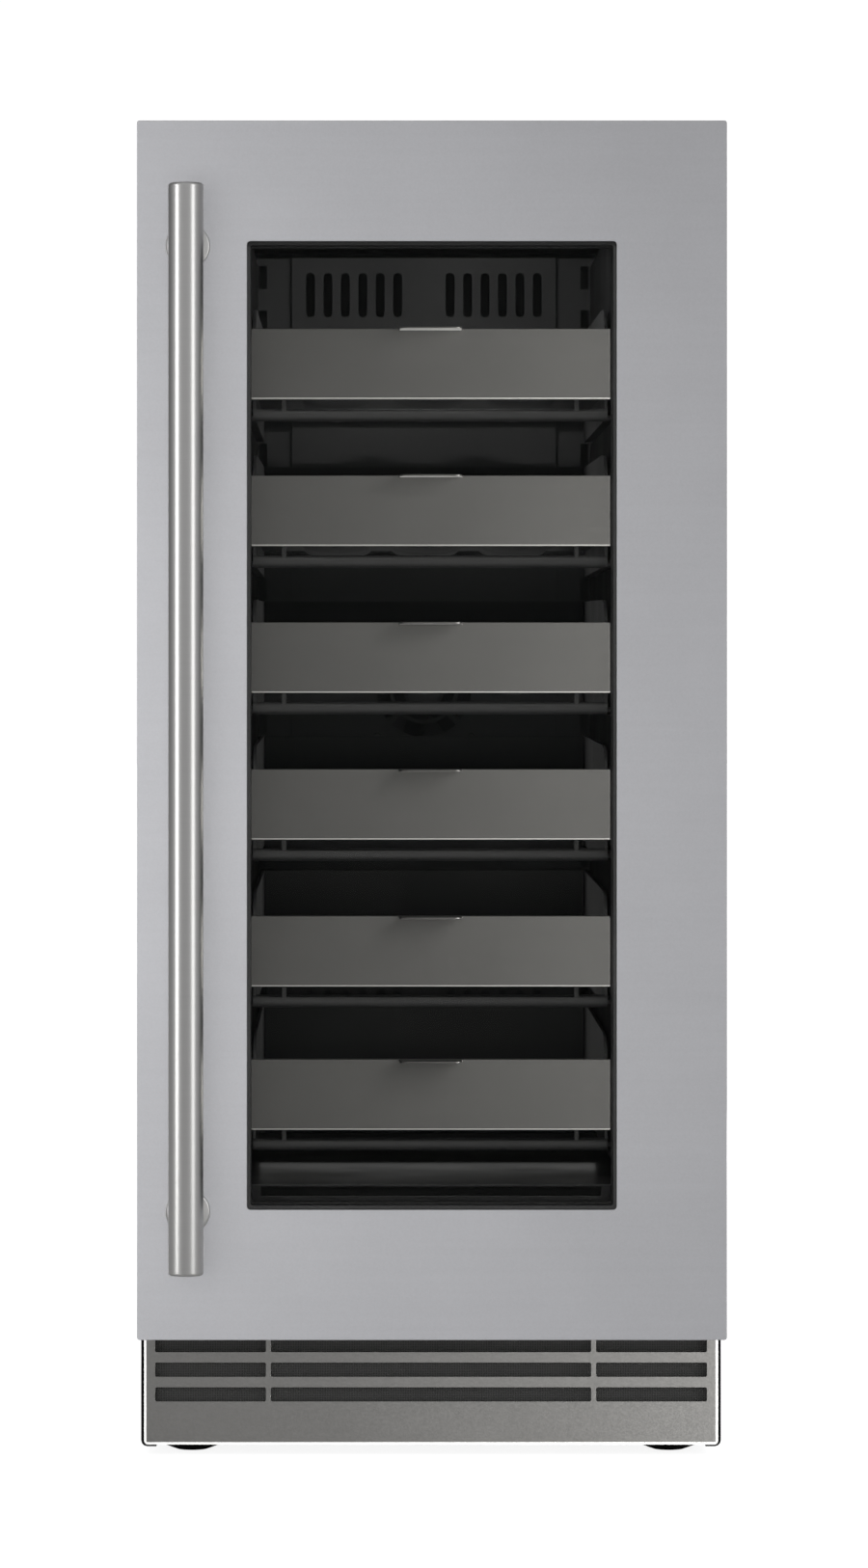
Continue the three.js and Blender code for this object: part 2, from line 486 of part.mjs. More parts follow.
// handle: closed tube with softly rounded ends on two flanged posts
const endR = 1.6;
const handleProfile = [[0, -HANDLE.half], [HANDLE_R - endR, -HANDLE.half],
  [HANDLE_R - endR * 0.3, -HANDLE.half + endR * 0.3], [HANDLE_R, -HANDLE.half + endR],
  [HANDLE_R, HANDLE.half - endR], [HANDLE_R - endR * 0.3, HANDLE.half - endR * 0.3],
  [HANDLE_R - endR, HANDLE.half], [0, HANDLE.half]];
add('handle_tube', turned(handleProfile, 40).translate(HANDLE.x, -HANDLE_OUT, HANDLE.z), STEEL);
const saddle = turned([[0, -30], [HANDLE_R + GAP, -30], [HANDLE_R + GAP, 30], [0, 30]], 40);
const post = turnedForward([[0, 0], [HANDLE.flangeR, 0], [HANDLE.flangeR, HANDLE.flangeT - 1.5],
  [HANDLE.flangeR - 1.5, HANDLE.flangeT], [HANDLE.postR, HANDLE.flangeT], [HANDLE.postR, 42], [0, 42]], 32);
for (const [key, dz] of [['upper', HANDLE.standoff], ['lower', -HANDLE.standoff]]) {
  add(`handle_standoff_${key}`,
    cut(post.clone().translate(0, -GAP, 0), saddle.clone().translate(0, -HANDLE_OUT, 0))
      .translate(HANDLE.x, 0, HANDLE.z + dz), STEEL);
}

// --------------------------------------------------------------------- racks
// front: folded sheet with a narrow pull lip at the middle of its top edge
function rackFront(top) {
  const { frontY: y, frontT: t, frontH: h, fold } = RACK;
  const sheet = side([[y, top - h], [y + fold, top - h], [y + fold, top - h + t], [y + t, top - h + t],
    [y + t, top - t], [y + fold, top - t], [y + fold, top], [y, top]], -RACK.half, RACK.half);
  const lip = slab([[-PULL.half, y + 1], [-PULL.half, y - PULL.out + PULL.r],
    [-PULL.half + PULL.r * 0.3, y - PULL.out + PULL.r * 0.3], [-PULL.half + PULL.r, y - PULL.out],
    [PULL.half - PULL.r, y - PULL.out], [PULL.half - PULL.r * 0.3, y - PULL.out + PULL.r * 0.3],
    [PULL.half, y - PULL.out + PULL.r], [PULL.half, y + 1]], [], top - PULL.t, top);
  return join(sheet, lip);
}

// floor: a thin sheet with three hollows across the width for the bottles
function cradleProfile(top) {
  const z = top - RACK.floorTop;
  const half = RACK.bodyHalf - RACK.sideT / 2;
  const upper = [[-half, z]];
  for (const centre of [-RACK.hollowPitch, 0, RACK.hollowPitch]) {
    for (let i = 0; i <= 6; i += 1) {
      const a = THREE.MathUtils.degToRad(30 * i);
      upper.push([centre - RACK.hollowHalf * Math.cos(a), z - RACK.hollowDeep * Math.sin(a)]);
    }
  }
  upper.push([half, z]);
  return [...upper.slice().reverse(), ...upper.map(([u, v]) => [u, v - RACK.floorT])];
}

// tray side: a wall that is highest at the back and rounded down at its front end
function traySide(top, barZ0) {
  const back = RACK.rearY + RACK.rearT;
  const front = RACK.barY0 + 1.5;
  return [[front, barZ0 + 1], [RACK.runnerY1, barZ0 + 1], [back, top - RACK.rearDown],
    [back, top + RACK.rearUp], [back - 8, top + RACK.rearUp],
    [front + 42, top + 15.6], [front + 24, top + 14], [front + 12, top + 11], [front + 5, top + 6],
    [front, top - 1]];
}

// tray: rounded front rail, side walls with runners, hollowed floor, rear stop
function rackTray(top) {
  const barZ1 = top - RACK.barTop;
  const barZ0 = barZ1 - RACK.barH;
  const { bodyHalf: w, barY0, barY1, sideT, rearY, rearT } = RACK;
  const bar = side(roundPath(barY0, barY1, barZ0, barZ1, 3, 3), -w, w);
  const parts = [bar, plate(cradleProfile(top), [], barY1 + 1, RACK.floorY1)];
  for (const s of [-1, 1]) {
    const x = (a, b) => (s > 0 ? [a, b] : [-b, -a]);
    parts.push(side(traySide(top, barZ0), ...x(w - sideT, w)));
    parts.push(box(...x(w - 1, RACK.runnerOut), RACK.runnerY0, RACK.runnerY1,
      top - RACK.runnerDrop - RACK.runnerT, top - RACK.runnerDrop));
    parts.push(box(...x(RACK.stayX, RACK.stayX + 3), barY0 + 0.5, barY0 + 3.5,
      barZ1 - 2, top - RACK.frontH - GAP));
  }
  parts.push(box(-w, w, rearY, rearY + rearT, top - RACK.rearDown, top + RACK.rearUp));
  return join(...parts);
}
RACK_TOPS.forEach((top, i) => {
  add(`rack_${i + 1}_front`, rackFront(top), STEEL_DARK);
  add(`rack_${i + 1}_tray`, rackTray(top), BLACK_PAINT);
});

// ------------------------------------------------------- machine compartment
const dome = [[0, 0], [64, 0], [68, 4], [70, 14], [70, 52], [72, 53], [72, 57], [70, 58], [69, 74],
  [62, 92], [46, 103], [22, 108], [0, 109]];
add('compressor', join(
  turned(dome, 32).translate(COMPRESSOR.x, COMPRESSOR.y, PAN_TOP + COMPRESSOR.lift),
  ...[-44, 44].map((dy) => box(COMPRESSOR.footX0, COMPRESSOR.footX1, COMPRESSOR.y + dy - 10,
    COMPRESSOR.y + dy + 10, PAN_TOP, PAN_TOP + COMPRESSOR.lift + 2)),
), BLACK_PAINT);
add('relay_box', box(2, 22, COMPRESSOR.y - 26, COMPRESSOR.y + 26, PAN_TOP + 30, PAN_TOP + 86),
  BLACK);
add('condenser', finPack(CONDENSER.x0, CONDENSER.x1, CONDENSER.y0, CONDENSER.y1, PAN_TOP,
  CONDENSER.z1, CONDENSER.fins, FIN_T), BLACK_PAINT);
add('condenser_fan_frame', fanFrame(CONDENSER_FAN.half, CONDENSER_FAN.bore, CONDENSER_FAN.hubR,
  CONDENSER_FAN.y, CONDENSER_FAN.y + CONDENSER_FAN.depth, CONDENSER_FAN.x, CONDENSER_FAN.z), BLACK);
add('condenser_fan_rotor', fanRotor(CONDENSER_FAN.hubR, CONDENSER_FAN.rotorR, 5, CONDENSER_FAN.y + 3,
  CONDENSER_FAN.y + 18, CONDENSER_FAN.x, CONDENSER_FAN.z), BLACK);
const drainPath = (inset, r) => roundPath(DRAIN.x0 + inset, DRAIN.x1 - inset, DRAIN.y0 + inset,
  DRAIN.y1 - inset, r, 3);
add('drain_pan', cut(
  slab(drainPath(0, 8), [], PAN_TOP + DRAIN.up, PAN_TOP + DRAIN.up + DRAIN.h),
  slab(drainPath(DRAIN.wall, 6), [], PAN_TOP + DRAIN.up + DRAIN.wall, PAN_TOP + DRAIN.up + 2 * DRAIN.h),
), BLACK);
add('power_board_box', join(
  box(BOARD.x0, BOARD.x1, BOARD.y0, BOARD.y1, PAN_TOP, PAN_TOP + BOARD.h),
  slab(roundPath(BOARD.x0 - BOARD.lid, BOARD.x1 + BOARD.lid, BOARD.y0 - BOARD.lid, BOARD.y1 + BOARD.lid,
    4, 2), [], PAN_TOP + BOARD.h - 1, PAN_TOP + BOARD.h + 3)), BLACK);
add('filter_drier', turnedForward([[0, -52], [3, -52], [3.4, -44], [10, -36], [10, 36], [3.4, 44], [3, 52],
  [0, 52]], 20).translate(-6, 300, 60), COPPER);
add('discharge_line', tube([[96, 424, 78], [96, 400, 84], [70, 380, 100], [20, 372, 100], [-6, 366, 70],
  [-6, 358, 60], [-6, 353, 60]], 2.6), COPPER);
add('liquid_line', tube([[-6, 247, 60], [-6, 232, 60], [-8, 200, 74], [-12, 160, 106], [-16, 134, 112],
  [-27, 125, 112]], 2.6), COPPER);
add('suction_line', tube([[150, 552.4, 76], [150, 562, 84], [140, 574, 100], [128, 578, 120],
  [124, 578, 136], [124, 578, DECK_Z - GAP]], 4), COPPER);

// lower rear cover with air slots and an opening for the power inlet
const INLET = { x: 150, z: 44, w: 27, h: 20 };
const rearSlots = [rectPath(INLET.x - INLET.w / 2, INLET.x + INLET.w / 2,
  INLET.z - INLET.h / 2, INLET.z + INLET.h / 2)];
for (let row = 0; row < 5; row += 1) {
  for (const x of [-150, -76]) {
    rearSlots.push(roundPath(x, x + 62, 40 + 18 * row, 47 + 18 * row, 3.4, 3));
  }
}
add('lower_rear_cover', plate(roundPath(-shellInner + GAP, shellInner - GAP, 10.5, DECK_Z + 1.1, 3, 3),
  rearSlots, REAR_PANEL_Y, REAR_PANEL_Y + SHELL.t), GALV);
add('power_inlet', cut(
  join(
    box(INLET.x - 13, INLET.x + 13, 574, REAR_PANEL_Y + 2, INLET.z - 9.5, INLET.z + 9.5),
    box(INLET.x - 17, INLET.x + 17, REAR_PANEL_Y + 1.5, REAR_PANEL_Y + 3.4, INLET.z - 13, INLET.z + 13)),
  box(INLET.x - 10.5, INLET.x + 10.5, 580, REAR_PANEL_Y + 5, INLET.z - 7, INLET.z + 7)), BLACK);

export default group;
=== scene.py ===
import json
import math

import bmesh
import bpy
from mathutils import Matrix, Vector

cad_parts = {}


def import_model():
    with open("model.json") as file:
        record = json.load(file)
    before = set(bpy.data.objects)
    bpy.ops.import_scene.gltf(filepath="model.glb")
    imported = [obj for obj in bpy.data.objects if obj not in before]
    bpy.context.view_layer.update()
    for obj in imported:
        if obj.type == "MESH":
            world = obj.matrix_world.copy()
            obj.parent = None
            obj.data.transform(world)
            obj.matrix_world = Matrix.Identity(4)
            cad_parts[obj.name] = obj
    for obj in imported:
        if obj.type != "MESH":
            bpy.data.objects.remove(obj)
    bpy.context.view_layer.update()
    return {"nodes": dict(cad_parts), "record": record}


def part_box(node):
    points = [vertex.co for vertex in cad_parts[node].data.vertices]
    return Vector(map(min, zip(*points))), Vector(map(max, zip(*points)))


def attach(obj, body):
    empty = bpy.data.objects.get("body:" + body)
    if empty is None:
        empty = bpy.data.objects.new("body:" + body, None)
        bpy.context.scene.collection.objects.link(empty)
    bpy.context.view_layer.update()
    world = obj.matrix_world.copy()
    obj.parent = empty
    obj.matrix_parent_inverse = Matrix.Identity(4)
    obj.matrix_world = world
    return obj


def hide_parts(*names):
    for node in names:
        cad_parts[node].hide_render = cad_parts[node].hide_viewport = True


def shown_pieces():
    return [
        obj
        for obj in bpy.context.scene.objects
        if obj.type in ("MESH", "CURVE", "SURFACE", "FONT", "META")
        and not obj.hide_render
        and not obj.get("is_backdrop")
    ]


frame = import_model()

NODES = frame["nodes"]
BODY_OF = {n: b for b, names in frame["record"]["behaviour"]["bodies"].items() for n in names}
SLOT_OF = {s["node"]: s["material_slot"] for s in frame["record"]["subparts"]}
MM = 0.001


# ------------------------------------------------------------------ materials
class Finish:
    """A Principled material with helpers for procedural detail in object space, metres."""

    def __init__(self, name, colour, roughness, metallic=0.0, specular=0.5):
        self.mat = bpy.data.materials.new(name)
        self.mat.use_nodes = True
        self.mat.diffuse_color = (*colour, 1.0)
        self.nodes = self.mat.node_tree.nodes
        self.links = self.mat.node_tree.links
        self.shader = self.nodes["Principled BSDF"]
        self.colour = colour
        self.set("Base Color", (*colour, 1.0))
        self.set("Roughness", roughness)
        self.set("Metallic", metallic)
        self.set("Specular IOR Level", specular)
        self.coords = self.nodes.new("ShaderNodeTexCoord").outputs["Object"]

    def set(self, socket, value):
        self.shader.inputs[socket].default_value = value

    def noise(self, scale, stretch=(1, 1, 1), detail=4.0, rough=0.55):
        mapping = self.nodes.new("ShaderNodeMapping")
        mapping.inputs["Scale"].default_value = stretch
        tex = self.nodes.new("ShaderNodeTexNoise")
        tex.inputs["Scale"].default_value = scale
        tex.inputs["Detail"].default_value = detail
        tex.inputs["Roughness"].default_value = rough
        self.links.new(self.coords, mapping.inputs["Vector"])
        self.links.new(mapping.outputs["Vector"], tex.inputs["Vector"])
        return tex.outputs["Fac"]

    def cells(self, scale):
        tex = self.nodes.new("ShaderNodeTexVoronoi")
        tex.inputs["Scale"].default_value = scale
        self.links.new(self.coords, tex.inputs["Vector"])
        return tex.outputs["Color"]

    def calc(self, operation, first, second=None):
        """One arithmetic node; second is a number or another output."""
        node = self.nodes.new("ShaderNodeMath")
        node.operation = operation
        self.links.new(first, node.inputs[0])
        if isinstance(second, float):
            node.inputs[1].default_value = second
        elif second is not None:
            self.links.new(second, node.inputs[1])
        return node.outputs["Value"]

    def ramp(self, fac, low, high, start=0.3, end=0.7):
        node = self.nodes.new("ShaderNodeValToRGB")
        node.color_ramp.elements[0].position = start
        node.color_ramp.elements[1].position = end
        node.color_ramp.elements[0].color = (*low, 1.0)
        node.color_ramp.elements[1].color = (*high, 1.0)
        self.links.new(fac, node.inputs["Fac"])
        return node.outputs["Color"]

    def mix(self, share, first, second):
        node = self.nodes.new("ShaderNodeMix")
        node.data_type = "RGBA"
        node.inputs["Factor"].default_value = share
        self.links.new(first, node.inputs["A"])
        self.links.new(second, node.inputs["B"])
        return node.outputs["Result"]

    def shades(self, fac, spread, start=0.3, end=0.7):
        """The finish's own colour, from a little darker to a little lighter."""
        low = tuple(c * (1 - spread) for c in self.colour)
        high = tuple(min(1.0, c * (1 + spread)) for c in self.colour)
        return self.ramp(fac, low, high, start, end)

    def paint(self, output):
        self.links.new(output, self.shader.inputs["Base Color"])

    def gloss(self, fac, low, high):
        """Roughness that wanders between two values."""
        node = self.nodes.new("ShaderNodeMapRange")
        node.inputs["From Min"].default_value = 0.25
        node.inputs["From Max"].default_value = 0.75
        node.inputs["To Min"].default_value = low
        node.inputs["To Max"].default_value = high
        self.links.new(fac, node.inputs["Value"])
        self.links.new(node.outputs["Result"], self.shader.inputs["Roughness"])

    def bump(self, height, distance, strength=1.0):
        node = self.nodes.new("ShaderNodeBump")
        node.inputs["Strength"].default_value = strength
        node.inputs["Distance"].default_value = distance
        self.links.new(height, node.inputs["Height"])
        self.links.new(node.outputs["Normal"], self.shader.inputs["Normal"])


# texture scales, in features per metre
CLOUDS = 9
BLOTCHES = 14
STAINS = 24
ZINC_FLAKES = 120
CROSS_GRAIN = 260
BRUSH_STRETCH = 0.012      # features along a brushed line, as a share of those across it


def mottled(name, colour, roughness, metallic=0.9, spread=0.05, relief=0.02 * MM, grain=900):
    """Bead-blasted and coated sheet: fine speckle, slow clouds and a faint cross grain."""
    f = Finish(name, colour, roughness, metallic)
    speckle = f.noise(grain, detail=3.0, rough=0.6)
    clouds = f.noise(CLOUDS, detail=2.0)
    lines = f.noise(CROSS_GRAIN, (0.03, 1, 1), detail=3.0)
    fine = f.mix(0.3, f.shades(speckle, spread), f.shades(lines, spread * 0.7))
    f.paint(f.mix(0.35, fine, f.shades(clouds, spread * 0.8)))
    f.gloss(speckle, roughness - 0.04, roughness + 0.05)
    f.bump(speckle, relief)
    return f.mat


def brushed(name, colour, roughness, along, metallic=1.0, spread=0.07, lines=1400, relief=0.012 * MM,
            gloss_range=(-0.05, 0.07)):
    """Brushed metal: long fine lines along one axis (or round a turned piece, given two axes)."""
    stretch = tuple(BRUSH_STRETCH if axis in along else 1.0 for axis in "xyz")
    f = Finish(name, colour, roughness, metallic)
    fine = f.noise(lines, stretch, detail=3.0, rough=0.7)
    coarse = f.noise(lines * 0.22, stretch, detail=2.0)
    f.paint(f.mix(0.4, f.shades(fine, spread), f.shades(coarse, spread)))
    f.gloss(fine, roughness + gloss_range[0], roughness + gloss_range[1])
    f.bump(fine, relief, 0.7)
    return f.mat


def moulded(name, colour, roughness, relief=0.03 * MM, grain=1100, spread=0.12, specular=0.4):
    """Moulded plastic or powder paint: fine texture, uneven gloss and slight fading."""
    f = Finish(name, colour, roughness, 0.0, specular)
    texture = f.noise(grain, detail=2.0)
    clouds = f.noise(BLOTCHES, detail=3.0)
    f.paint(f.shades(clouds, spread))
    f.gloss(clouds, roughness - 0.05, roughness + 0.07)
    f.bump(texture, relief)
    return f.mat


def woven(name, colour, pitch):
    """Open filter mesh: crossing threads with dark holes between them."""
    f = Finish(name, colour, 0.85, 0.0, 0.2)
    axes = f.nodes.new("ShaderNodeSeparateXYZ")
    f.links.new(f.coords, axes.inputs["Vector"])
    turns = 2 * math.pi / pitch
    across, upright = (f.calc("SINE", f.calc("MULTIPLY", axes.outputs[axis], turns)) for axis in "XZ")
    threads = f.calc("MAXIMUM", across, upright)
    f.paint(f.mix(0.3, f.shades(threads, 0.3, 0.0, 0.6), f.shades(f.noise(20), 0.15)))
    f.bump(threads, 0.2 * MM, 0.6)
    return f.mat


def spangled(name, colour, roughness=0.42):
    """Zinc-coated sheet: crystal flakes with their own shade and gloss."""
    f = Finish(name, colour, roughness, 0.85)
    flakes = f.cells(ZINC_FLAKES)
    stains = f.noise(STAINS, detail=4.0)
    f.paint(f.mix(0.5, f.shades(flakes, 0.16, 0.0, 1.0), f.shades(stains, 0.12)))
    f.gloss(flakes, roughness - 0.1, roughness + 0.12)
    f.bump(f.noise(700), 0.015 * MM)
    return f.mat


def clear_pane(name, tint, facing, edge):
    """A thin clear pane: see-through, with reflections that grow towards grazing angles."""
    mat = bpy.data.materials.new(name)
    mat.use_nodes = True
    nodes, links = mat.node_tree.nodes, mat.node_tree.links
    nodes.clear()
    out = nodes.new("ShaderNodeOutputMaterial")
    mix = nodes.new("ShaderNodeMixShader")
    clear = nodes.new("ShaderNodeBsdfTransparent")
    clear.inputs["Color"].default_value = (*tint, 1.0)
    sheen = nodes.new("ShaderNodeBsdfPrincipled")
    sheen.inputs["Base Color"].default_value = (0.9, 0.95, 0.95, 1.0)
    sheen.inputs["Metallic"].default_value = 1.0
    smears = nodes.new("ShaderNodeTexNoise")
    smears.inputs["Scale"].default_value = 11
    smears.inputs["Detail"].default_value = 4
    dull = nodes.new("ShaderNodeMapRange")
    dull.inputs["To Min"].default_value = 0.03
    dull.inputs["To Max"].default_value = 0.09
    weight = nodes.new("ShaderNodeLayerWeight")
    weight.inputs["Blend"].default_value = 0.5
    power = nodes.new("ShaderNodeMath")
    power.operation = "POWER"
    power.inputs[1].default_value = 3.0
    amount = nodes.new("ShaderNodeMapRange")
    amount.inputs["To Min"].default_value = facing
    amount.inputs["To Max"].default_value = edge
    coords = nodes.new("ShaderNodeTexCoord")
    links.new(coords.outputs["Object"], smears.inputs["Vector"])
    links.new(smears.outputs["Fac"], dull.inputs["Value"])
    links.new(dull.outputs["Result"], sheen.inputs["Roughness"])
    links.new(weight.outputs["Facing"], power.inputs[0])
    links.new(power.outputs["Value"], amount.inputs["Value"])
    links.new(amount.outputs["Result"], mix.inputs["Fac"])
    links.new(clear.outputs["BSDF"], mix.inputs[1])
    links.new(sheen.outputs["BSDF"], mix.inputs[2])
    links.new(mix.outputs["Shader"], out.inputs["Surface"])
    return mat


DOOR_STEEL = mottled("door_stainless", (0.50, 0.50, 0.515), 0.46, spread=0.08)
TOE_STEEL = mottled("grille_stainless", (0.27, 0.267, 0.259), 0.40, spread=0.1)
RACK_STEEL = mottled("rack_front_steel", (0.122, 0.1205, 0.118), 0.40, 0.8, spread=0.12, grain=1200)
HANDLE_STEEL = brushed("handle_stainless", (0.72, 0.715, 0.70), 0.31, "xy", spread=0.02, lines=3000,
                       relief=0.0003 * MM, gloss_range=(-0.012, 0.012))
# painted highlight: white on the undersides of the rack pulls' lips, in place of the lamp's glint there
PULL_LIP_PAINTED_HIGHLIGHT = moulded("pull_insert_white", (0.86, 0.86, 0.85), 0.35, spread=0.03)
# painted highlight: near-white for the band along the toe grille's sides and bottom, in place of light on
# its rolled edge
TRIM_PAINTED_HIGHLIGHT = moulded("bright_edge", (0.86, 0.86, 0.85), 0.4, spread=0.03)
# painted highlight: a light steel for the band along each rack front's lower edge, in place of light caught
# by its rounded fold
RACK_EDGE_PAINTED_HIGHLIGHT = mottled("rack_front_edge", (0.62, 0.615, 0.6), 0.40, 0.8, spread=0.05, grain=1200)
SHELL_PAINT = moulded("cabinet_black_paint", (0.014, 0.014, 0.015), 0.42, 0.02 * MM, 900)
TRAY_PAINT = moulded("rack_black_coat", (0.034, 0.034, 0.035), 0.48, 0.02 * MM, 1300, specular=0.22)
BLACK_MATTE = moulded("black_moulding", (0.016, 0.016, 0.017), 0.5)
BLACK_LINER = moulded("liner_semi_gloss", (0.02, 0.02, 0.021), 0.33, 0.008 * MM, 600)
RUBBER = moulded("gasket_rubber", (0.022, 0.022, 0.023), 0.75, 0.04 * MM, 1500)
ZINC = spangled("zinc_sheet", (0.52, 0.53, 0.54))
FINS = brushed("aluminium_fins", (0.74, 0.75, 0.76), 0.38, "z")
COPPER = brushed("copper_tube", (0.62, 0.27, 0.14), 0.32, "y", spread=0.14, lines=500)
FOAM = moulded("foam_cream", (0.72, 0.6, 0.34), 0.9, 0.3 * MM, 260, 0.16)
SEALED_FOAM = moulded("foam_sealed", (0.03, 0.03, 0.031), 0.85, 0.15 * MM, 300)
FROSTED = moulded("frosted_lens", (0.62, 0.64, 0.65), 0.38, 0.015 * MM, 2000, 0.04, 0.5)
SCREW = brushed("screw_steel", (0.58, 0.58, 0.59), 0.3, "x")
SCREW_BLACK = moulded("screw_black", (0.03, 0.03, 0.031), 0.35, 0.01 * MM, 900)
DUCT_COVER = moulded("duct_cover_black", (0.036, 0.036, 0.037), 0.5)
FILTER_MESH = woven("filter_mesh", (0.2, 0.2, 0.193), 1.6 * MM)
GLASS_FRONT = clear_pane("glass_front", (0.985, 0.985, 0.98), 0.003, 0.55)
GLASS_REAR = clear_pane("glass_rear", (0.985, 0.985, 0.98), 0.0015, 0.3)

FINISH_OF_SLOT = {
    "stainless": DOOR_STEEL, "dark_steel": RACK_STEEL, "black_paint": TRAY_PAINT,
    "black_plastic": BLACK_MATTE, "black_liner": BLACK_LINER, "rubber": RUBBER,
    "glass": GLASS_FRONT, "galvanised": ZINC, "aluminium": FINS, "copper": COPPER,
    "foam": FOAM, "door_foam": SEALED_FOAM, "lens": FROSTED, "filter": FILTER_MESH,
}
FINISH_OF_NODE = {
    "toe_grille": TOE_STEEL, "cabinet_shell": SHELL_PAINT, "glass_inner": GLASS_REAR,
    "compressor": SHELL_PAINT, "air_duct_cover": DUCT_COVER, "fan_guard": DUCT_COVER,
}


def finish_of(node):
    return FINISH_OF_NODE.get(node, FINISH_OF_SLOT[SLOT_OF[node]])


# --------------------------------------------------------------- piece helpers
CRISP, CRISP_TURNED = 35, 50      # degrees; an edge steeper than this stays crisp in shading


def show(name, mesh, body, finishes, node=None, crisp=CRISP):
    """Links a mesh as a piece that rides on a body, and may stand for a CAD node."""
    for mat in finishes:
        mesh.materials.append(mat)
    mesh.shade_smooth()
    mesh.set_sharp_from_angle(angle=math.radians(crisp))
    obj = bpy.data.objects.new(name, mesh)
    bpy.context.scene.collection.objects.link(obj)
    even = obj.modifiers.new("even_normals", "WEIGHTED_NORMAL")
    even.keep_sharp = True
    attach(obj, body)
    if node:
        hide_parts(node)


HARD_EDGE = math.radians(38)      # sharper edges than this are rounded
FLAT_ENOUGH = math.radians(0.6)   # faces that meet at less than this become one
SAME_POINT = 0.004 * MM
ON_PLANE = 1e-7


def rounded_copy(node, width, segments=2, pick=None, extra=(), cuts=()):
    """The CAD node's own shape with every hard edge rounded; it stands for the node.

    pick gives a face's material index from its centre and normal, where extra holds the
    further finishes. cuts are planes (point, normal) that split faces, so that pick can give
    a narrow band beside an edge its own finish.
    """
    bm = bmesh.new()
    bm.from_mesh(NODES[node].data)
    bmesh.ops.remove_doubles(bm, verts=bm.verts, dist=SAME_POINT)
    bmesh.ops.dissolve_limit(bm, angle_limit=FLAT_ENOUGH, verts=bm.verts, edges=bm.edges)
    hard = [e for e in bm.edges if len(e.link_faces) == 2 and e.calc_face_angle() > HARD_EDGE]
    bmesh.ops.bevel(bm, geom=hard, offset=width, offset_type="OFFSET", segments=segments,
                    profile=0.5, affect="EDGES", clamp_overlap=True)
    for point, normal in cuts:
        whole = [*bm.verts, *bm.edges, *bm.faces]
        bmesh.ops.bisect_plane(bm, geom=whole, dist=ON_PLANE, plane_co=point, plane_no=normal)
    if pick:
        bm.normal_update()
        for face in bm.faces:
            face.material_index = pick(face.calc_center_median(), face.normal)
    mesh = bpy.data.meshes.new(node + "_shape")
    bm.to_mesh(mesh)
    bm.free()
    show(node + "_finished", mesh, BODY_OF[node], [finish_of(node), *extra], node)


def lathe(profile, place, sides=96):
    """A turned mesh: profile is (radius, height) pairs about local Z, placed by a matrix.

    A radius of 0 closes the end with one point.
    """
    bm = bmesh.new()
    rings = []
    for r, h in profile:
        if r == 0:
            rings.append([bm.verts.new(place @ Vector((0, 0, h)))])
            continue
        rings.append([
            bm.verts.new(place @ Vector((r * math.cos(a), r * math.sin(a), h)))
            for a in (2 * math.pi * i / sides for i in range(sides))])
    for low, high in zip(rings, rings[1:]):
        for i in range(sides):
            j = (i + 1) % sides
            ring = [low[i % len(low)], low[j % len(low)], high[j % len(high)], high[i % len(high)]]
            bm.faces.new(list(dict.fromkeys(ring)))
    bmesh.ops.recalc_face_normals(bm, faces=bm.faces)
    mesh = bpy.data.meshes.new("turned")
    bm.to_mesh(mesh)
    bm.free()
    return mesh


def corner(radius, centre_r, centre_h, start, end, steps=6):
    """Points of an arc in a turned profile."""
    angles = [math.radians(start + (end - start) * i / steps) for i in range(steps + 1)]
    return [(centre_r + radius * math.cos(a), centre_h + radius * math.sin(a)) for a in angles]


# ------------------------------------------------------------------ CAD nodes
for name, obj in NODES.items():
    obj.data.materials.clear()
    obj.data.materials.append(finish_of(name))

FINE, THIN, FOLD, SOFT, WIDE = 0.25 * MM, 0.4 * MM, 0.45 * MM, 0.5 * MM, 0.9 * MM
ROUNDED = {
    "door_skin": FOLD, "door_liner": SOFT, "glass_spacer": FINE, "cabinet_shell": FINE,
    "interior_liner": THIN, "air_duct_cover": THIN, "rack_rail_left": WIDE,
    "rack_rail_right": WIDE, "control_housing": WIDE, "interior_light": SOFT, "fan_guard": THIN,
    "evaporator_fan_frame": SOFT, "evaporator_fan_rotor": FINE, "condenser_fan_frame": SOFT,
    "condenser_fan_rotor": FINE, "rear_panel": FINE, "lower_rear_cover": FINE, "base_pan": THIN,
    "machine_deck": FINE, "hinge_upper": SOFT, "hinge_lower": SOFT, "relay_box": WIDE,
    "power_board_box": WIDE, "drain_pan": WIDE, "power_inlet": SOFT, "door_gasket": WIDE,
    "compressor": SOFT,
}
FEET = ("foot_front_left", "foot_front_right", "foot_rear_left", "foot_rear_right")
FRONT_SUFFIX = "_front"
RACKS = sorted(n[:-len(FRONT_SUFFIX)] for n in NODES if n.startswith("rack_") and n.endswith(FRONT_SUFFIX))
PULL_START = 9.5 * MM      # what lies further in front of a rack front's rear edge is its pull lip
FOLD_HIGHLIGHT_BAND = 0.9 * MM       # height of the painted highlight along the bottom edge of a rack front, in place of light caught by its fold
TRIM_HIGHLIGHT_BAND = 1.5 * MM       # width of the painted highlight along the sides and the bottom of the toe grille, in place of light caught by its rolled edge
UNDERSIDE = -0.9           # a normal that points down more than this is on an underside
ACROSS, UP = (1, 0, 0), (0, 0, 1)


def rack_pieces(rack):
    """A rack's front, with painted highlights on the underside of its pull lip and along its lower edge, and
    its tray.
    """
    low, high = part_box(rack + FRONT_SUFFIX)
    sheet_y, fold_highlight_z = high.y - PULL_START, low.z + FOLD_HIGHLIGHT_BAND

    def finish_index(centre, normal):
        if centre.y < sheet_y:
            return int(normal.z < UNDERSIDE)
        return 2 * int(centre.z < fold_highlight_z)

    rounded_copy(rack + FRONT_SUFFIX, FOLD, 3, finish_index, [PULL_LIP_PAINTED_HIGHLIGHT, RACK_EDGE_PAINTED_HIGHLIGHT],
                 [((0, 0, fold_highlight_z), UP)])
    rounded_copy(rack + "_tray", THIN)


